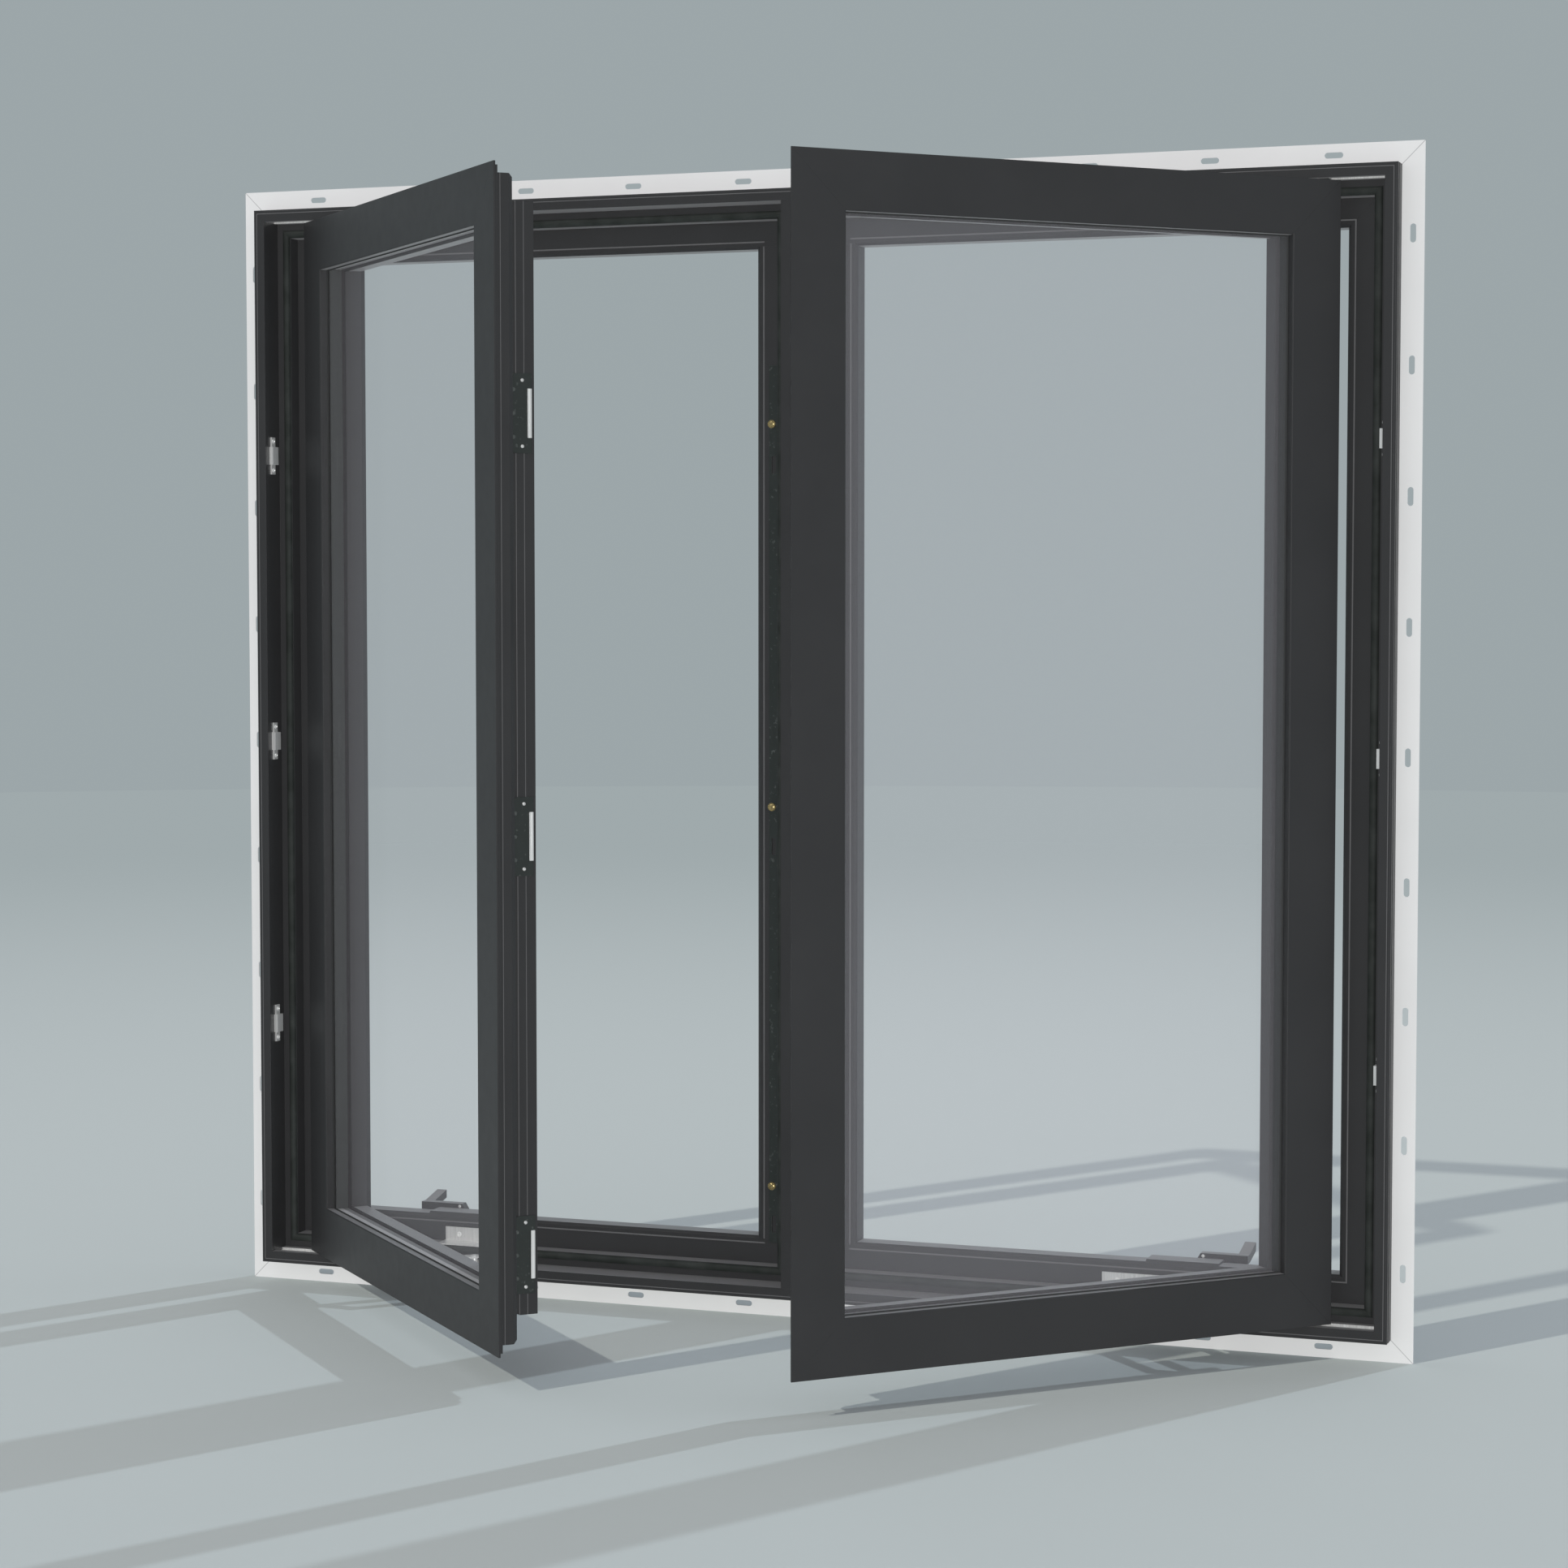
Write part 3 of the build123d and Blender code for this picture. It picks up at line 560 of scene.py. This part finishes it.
def strip_round(form, low, high, profile, matrix):
    """A strip round a rectangle with mitred corners; its profile has (inwards, depth) points."""
    corners = [(low.x, low.z, 1, 1), (high.x, low.z, -1, 1),
               (high.x, high.z, -1, -1), (low.x, high.z, 1, -1)]
    rings = []
    for x, z, turn_x, turn_z in corners:
        points = [matrix @ Vector((x + turn_x * o, u, z + turn_z * o)) for o, u in profile]
        rings.append([form.verts.new(point) for point in points])
    count = len(profile)
    for k in range(4):
        here = rings[k]
        there = rings[(k + 1) % 4]
        for i in range(count):
            n = (i + 1) % count
            form.faces.new((here[i], there[i], there[n], here[n]))


def sash_axes(side, sign):
    """Matrix from a sash's own axes to the row frame: its shoe pivot at the origin, X to its hinge edge."""
    shoe = Vector(JOINTS[side + "_shoe_pivot"]["pos_m"])
    knee = Vector(JOINTS[side + "_sash_hinge"]["pos_m"])
    along = (shoe - knee).normalized()
    inward = sign * Vector((-along.y, along.x, 0.0))
    turn = Matrix((along, inward, UP)).transposed().to_4x4()
    return Matrix.Translation((shoe.x, shoe.y, 0.0)) @ turn


def own_box(node, matrix):
    """Lowest and highest corner of a CAD node in a sash's own axes."""
    back = matrix.inverted()
    points = [back @ vert.co for vert in NODES[node].data.vertices]
    low = Vector([min(point[k] for point in points) for k in range(3)])
    high = Vector([max(point[k] for point in points) for k in range(3)])
    return low, high


def groove_filling(inwards, depth, size_in, size_deep):
    """Corners of a strip that fills a groove, a hair clear of its walls and mouth."""
    near, far = inwards + LINE_CLEAR, inwards + size_in - LINE_CLEAR
    front, back = depth + LINE_CLEAR, depth + size_deep - LINE_CLEAR
    return [(near, front), (far, front), (far, back), (near, back)]


def add_frame_lines(material):
    """Painted highlights in the frame: pale strips, one in its front face and one in the stop round each
    opening.
    """
    low = Vector(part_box("frame_sill")[0])
    high = Vector(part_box("frame_head")[1])
    form = bmesh.new()
    front_line = groove_filling(FRONT_LINE_INSET, low.y, FINE_LINE_W, FINE_LINE_DEPTH)
    strip_round(form, low, high, front_line, Matrix.Identity(4))
    stop_line = groove_filling(0.0, low.y + STOP_LINE_T, STOP_LINE_W, STOP_LINE_DEPTH)
    for _, sign in SIDES:
        near, far = sorted((sign * STOP_LINE_FROM_MIDDLE, sign * (high.x - STOP_LINE_INSET)))
        strip_round(form, Vector((near, 0.0, low.z + STOP_LINE_INSET)),
                    Vector((far, 0.0, high.z - STOP_LINE_INSET)), stop_line, Matrix.Identity(4))
    add_piece("frame_painted_highlights", form, material, "frame")


def add_sash_lines(side, matrix, material):
    """Painted highlights in the edge of one sash: pale strips behind each of its lips and along both sides
    of its groove.
    """
    low = own_box(side + "_lock_stile", matrix)[0]
    high = own_box(side + "_hinge_stile", matrix)[1]
    form = bmesh.new()
    for inwards, back, deep in SASH_LINES:
        strip_round(form, low, high, groove_filling(inwards, low.y + back, deep, FINE_LINE_W), matrix)
    add_piece(side + "_sash_painted_highlights", form, material, side + "_sash")


def add_gaskets(side, matrix, material):
    """Wedge gaskets between the sash and its glass, outside and inside."""
    low, high = own_box(side + "_glass_panes", matrix)
    sight = Vector((GLASS_BITE, 0.0, GLASS_BITE))
    form = bmesh.new()
    for y, out in ((low.y, -1), (high.y, 1)):
        wedge = [(wide * GASKET_W, y + high_share * out * GASKET_H) for wide, high_share in GASKET_WEDGE]
        strip_round(form, low + sight, high - sight, wedge, matrix)
    add_piece(side + "_glazing_gaskets", form, material, side + "_sash")


def middles(node):
    """Heights of the like pieces that one node holds, well apart above each other."""
    heights = sorted(vert.co.z for vert in NODES[node].data.vertices)
    groups = [[heights[0]]]
    for z in heights[1:]:
        if z - groups[-1][-1] > PIECES_APART:
            groups.append([])
        groups[-1].append(z)
    return [(group[0] + group[-1]) / 2 for group in groups]


def add_keeper_details(side, matrix, finishes):
    """Striker bars with a bright ridge, screws and small bosses on the keepers of one sash."""
    low, high = own_box(side + "_keepers", matrix)
    bar_face = low.x
    plate_face = bar_face + STRIKER_T
    body = side + "_sash"
    facing = matrix.to_3x3() @ Vector((-1.0, 0.0, 0.0))
    bars = bmesh.new()
    ridges = bmesh.new()
    screws = bmesh.new()
    bosses = bmesh.new()
    top = bar_face - STRIKER_LIFT
    back = high.y - STRIKER_INSET
    ridge = back - (STRIKER_W + RIDGE_W) / 2
    for z in middles(side + "_keepers"):
        low_end = z - STRIKER_L / 2
        high_end = z + STRIKER_L / 2
        bar(bars, (top, back - STRIKER_W, low_end), (plate_face, back, high_end), STRIKER_BEVEL, matrix)
        bar(ridges, (top - RIDGE_H, ridge, low_end), (bar_face, ridge + RIDGE_W, high_end),
            STRIKER_BEVEL, matrix)
        for step in (-1, 1):
            at = Vector((plate_face, low.y + KEEPER_SCREW_INSET, z + step * KEEPER_SCREW_SPACING / 2))
            screw(screws, matrix @ at, facing, KEEPER_SCREW_R, PAN_HEAD_H)
        for step in (-1, 0, 1):
            at = Vector((plate_face, low.y + KEEPER_BOSS_INSET, z + step * KEEPER_BOSS_SPACING / 2))
            rivet(bosses, matrix @ at, facing, KEEPER_BOSS_R, PAN_HEAD_H)
    add_piece(side + "_striker_bars", bars, finishes["steel"], body)
    add_piece(side + "_striker_ridges", ridges, finishes["bright"], body)
    add_piece(side + "_keeper_screws", screws, finishes["steel"], body)
    add_piece(side + "_keeper_bosses", bosses, finishes["boss"], body)


def add_frame_fasteners(finishes):
    """Screws, rivets and pins of the hardware that is fixed to the frame."""
    screws = bmesh.new()
    rivets = bmesh.new()
    buttons = bmesh.new()
    for side, sign in SIDES:
        add_snubber_screws(screws, sign)
        add_track_screws(screws, sign)
        add_bracket_screws(screws, sign)
        add_pivot_rivets(rivets, side)
        add_crank_pin(rivets, sign)
        add_roller_buttons(buttons, sign)
    add_piece("frame_screws", screws, finishes["bright"], "frame")
    add_piece("hinge_rivets", rivets, finishes["steel"], "frame")
    add_piece("roller_buttons", buttons, finishes["brass"], "frame")


def add_snubber_screws(form, sign):
    low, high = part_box("hinge_snubbers")
    x = sign * (high[0] - SNUBBER_PLATE_T)
    y = (low[1] + high[1]) / 2
    for z in middles("hinge_snubbers"):
        for step in (-1, 1):
            at = Vector((x, y, z + step * SNUBBER_SCREW_SPACING / 2))
            screw(form, at, Vector((-sign, 0.0, 0.0)), SNUBBER_SCREW_R, PAN_HEAD_H)


def add_track_screws(form, sign):
    """Flat screws in the track floors, low enough for the shoe to pass over them."""
    low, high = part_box("hinge_tracks")
    inner = inner_end("hinge_tracks")
    y = (low[1] + high[1]) / 2
    for place in TRACK_SCREW_PLACES:
        x = sign * (inner + place * (high[0] - inner))
        screw(form, Vector((x, y, low[2] + TRACK_BASE)), UP, TRACK_SCREW_R, TRACK_SCREW_H)
        screw(form, Vector((x, y, high[2] - TRACK_BASE)), -UP, TRACK_SCREW_R, TRACK_SCREW_H)


def inner_end(node):
    """Distance from the middle plane to the nearest end of a node's mirrored pieces."""
    return min(abs(vert.co.x) for vert in NODES[node].data.vertices)


def add_bracket_screws(form, sign):
    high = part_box("operator_brackets")[1]
    middle = (inner_end("operator_brackets") + high[0]) / 2
    z = high[2] - BRACKET_UPRIGHT / 2
    for step in (-1, 1):
        at = Vector((sign * (middle + step * BRACKET_SCREW_SPACING / 2), high[1] - BRACKET_T, z))
        screw(form, at, Vector((0.0, -1.0, 0.0)), BRACKET_SCREW_R, PAN_HEAD_H)


def pivot(joint):
    """Where the upright axis of a joint stands."""
    x, y, _ = JOINTS[joint]["pos_m"]
    return x, y


def add_pivot_rivets(form, side):
    """Rivet heads on the support arms' fixed posts and on the drive arm's spindle."""
    low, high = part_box(side + "_support_arms")
    x, y = pivot(side + "_arm_swing")
    rivet(form, Vector((x, y, low[2] + ARM_T)), UP, RIVET_R, RIVET_H)
    rivet(form, Vector((x, y, high[2] - ARM_T)), -UP, RIVET_R, RIVET_H)
    x, y = pivot(side + "_drive_swing")
    rivet(form, Vector((x, y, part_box(side + "_drive_arm")[1][2])), UP, RIVET_R, RIVET_H)


def add_crank_pin(form, sign):
    """Pin of the folding crank, in the side of its arm that faces the window."""
    low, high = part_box("crank_handles")
    x = inner_end("crank_handles") + CRANK_PIN_END
    z = high[2] - CRANK_TOP_DROP - CRANK_PIN_DROP
    rivet(form, Vector((sign * x, low[1], z)), Vector((0.0, -1.0, 0.0)), CRANK_PIN_R, CRANK_PIN_H)


def add_roller_buttons(form, sign):
    low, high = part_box("lock_rollers")
    x = sign * (inner_end("lock_rollers") + high[0]) / 2
    for z in middles("lock_rollers"):
        rivet(form, Vector((x, low[1], z)), Vector((0.0, -1.0, 0.0)), ROLLER_BUTTON_R, ROLLER_BUTTON_H)


def add_drive_rivets(side, finishes):
    """Rivet head where the drive arm carries its link."""
    form = bmesh.new()
    x, y = pivot(side + "_link_pivot")
    rivet(form, Vector((x, y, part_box(side + "_drive_arm")[1][2])), UP, RIVET_R, RIVET_H)
    add_piece(side + "_drive_rivet", form, finishes["steel"], side + "_drive_arm")


def add_details(finishes):
    add_frame_fasteners(finishes)
    add_frame_lines(finishes["line"])
    for side, sign in SIDES:
        matrix = sash_axes(side, sign)
        add_gaskets(side, matrix, finishes["gasket"])
        add_sash_lines(side, matrix, finishes["line"])
        add_keeper_details(side, matrix, finishes)
        add_drive_rivets(side, finishes)


def floor_material():
    """Pale matt floor that fades into the backdrop's colour far from the object."""
    shader = Shader("floor")
    shader.put("Base Color", (*FLOOR_COLOUR, 1.0))
    shader.put("Roughness", 0.9)
    shader.put("Specular IOR Level", 0.1)
    nodes = shader.tree.nodes
    links = shader.tree.links
    far = nodes.new("ShaderNodeEmission")
    far.inputs["Color"].default_value = (*HORIZON, 1.0)
    reach = nodes.new("ShaderNodeVectorMath")
    reach.operation = "LENGTH"
    links.new(shader.place, reach.inputs[0])
    fade = nodes.new("ShaderNodeMapRange")
    fade.interpolation_type = "SMOOTHSTEP"
    fade.inputs["From Min"].default_value = FLOOR_FADE[0]
    fade.inputs["From Max"].default_value = FLOOR_FADE[1]
    links.new(reach.outputs["Value"], fade.inputs["Value"])
    both = nodes.new("ShaderNodeMixShader")
    links.new(fade.outputs["Result"], both.inputs["Fac"])
    links.new(shader.surface.outputs["BSDF"], both.inputs[1])
    links.new(far.outputs["Emission"], both.inputs[2])
    links.new(both.outputs["Shader"], nodes["Material Output"].inputs["Surface"])
    return shader.material


def add_floor():
    form = bmesh.new()
    bmesh.ops.create_circle(form, cap_ends=True, segments=FLOOR_SIDES, radius=FLOOR_R)
    bmesh.ops.translate(form, vec=(0.0, 0.0, FLOOR_Z), verts=form.verts)
    mesh = bpy.data.meshes.new("floor")
    form.to_mesh(mesh)
    form.free()
    mesh.materials.append(floor_material())
    floor = bpy.data.objects.new("floor", mesh)
    bpy.context.scene.collection.objects.link(floor)
    return floor


def add_sun(name, direction, strength, spread, colour, shadow=True):
    data = bpy.data.lights.new(name, "SUN")
    data.use_shadow = shadow
    data.energy = strength
    data.angle = math.radians(spread)
    data.color = colour
    light = bpy.data.objects.new(name, data)
    light.rotation_euler = Vector(direction).to_track_quat("-Z", "Y").to_euler()
    bpy.context.scene.collection.objects.link(light)
    return light


def limit_light(light, floor, state):
    """Lets a lamp light the floor alone (INCLUDE), or all but the floor (EXCLUDE)."""
    receivers = bpy.data.collections.new(light.name + "_receivers")
    receivers.objects.link(floor)
    receivers.collection_objects[0].light_linking.link_state = state
    light.light_linking.receiver_collection = receivers


def add_world():
    """Even light on the object, and the backdrop's own colour where it is seen or mirrored."""
    world = bpy.data.worlds.new("studio")
    world.use_nodes = True
    nodes = world.node_tree.nodes
    links = world.node_tree.links
    light = nodes["Background"]
    light.inputs["Color"].default_value = (*SKY_LIGHT, 1.0)
    seen = nodes.new("ShaderNodeBackground")
    seen.inputs["Color"].default_value = (*BACKDROP, 1.0)
    path = nodes.new("ShaderNodeLightPath")
    is_seen = path.outputs["Is Camera Ray"]
    for ray in ("Is Glossy Ray", "Is Transmission Ray"):
        either = nodes.new("ShaderNodeMath")
        either.operation = "MAXIMUM"
        links.new(is_seen, either.inputs[0])
        links.new(path.outputs[ray], either.inputs[1])
        is_seen = either.outputs[0]
    both = nodes.new("ShaderNodeMixShader")
    links.new(is_seen, both.inputs["Fac"])
    links.new(light.outputs["Background"], both.inputs[1])
    links.new(seen.outputs["Background"], both.inputs[2])
    links.new(both.outputs["Shader"], nodes["World Output"].inputs["Surface"])
    bpy.context.scene.world = world


def add_camera():
    data = bpy.data.cameras.new("camera")
    data.angle = math.radians(CAMERA_FIELD)
    camera = bpy.data.objects.new("camera", data)
    camera.location = CAMERA_AT
    camera.rotation_euler = (math.radians(90 - CAMERA_PITCH), 0.0, math.radians(CAMERA_YAW))
    bpy.context.scene.collection.objects.link(camera)
    bpy.context.scene.camera = camera


def add_studio():
    add_world()
    floor = add_floor()
    add_camera()
    add_sun("rear", *REAR_SUN)
    limit_light(add_sun("front", *FRONT_SUN), floor, "INCLUDE")
    limit_light(add_sun("front_fill", *FRONT_FILL, shadow=False), floor, "EXCLUDE")
    add_sun("side_fill", *SIDE_FILL, shadow=False)
    for name, fill in (("back_fill", BACK_FILL), ("bounce", BOUNCE)):
        add_sun(name, *fill, shadow=False).visible_glossy = False
    bpy.context.scene.view_settings.view_transform = "Standard"


add_details(dress_nodes())
add_studio()
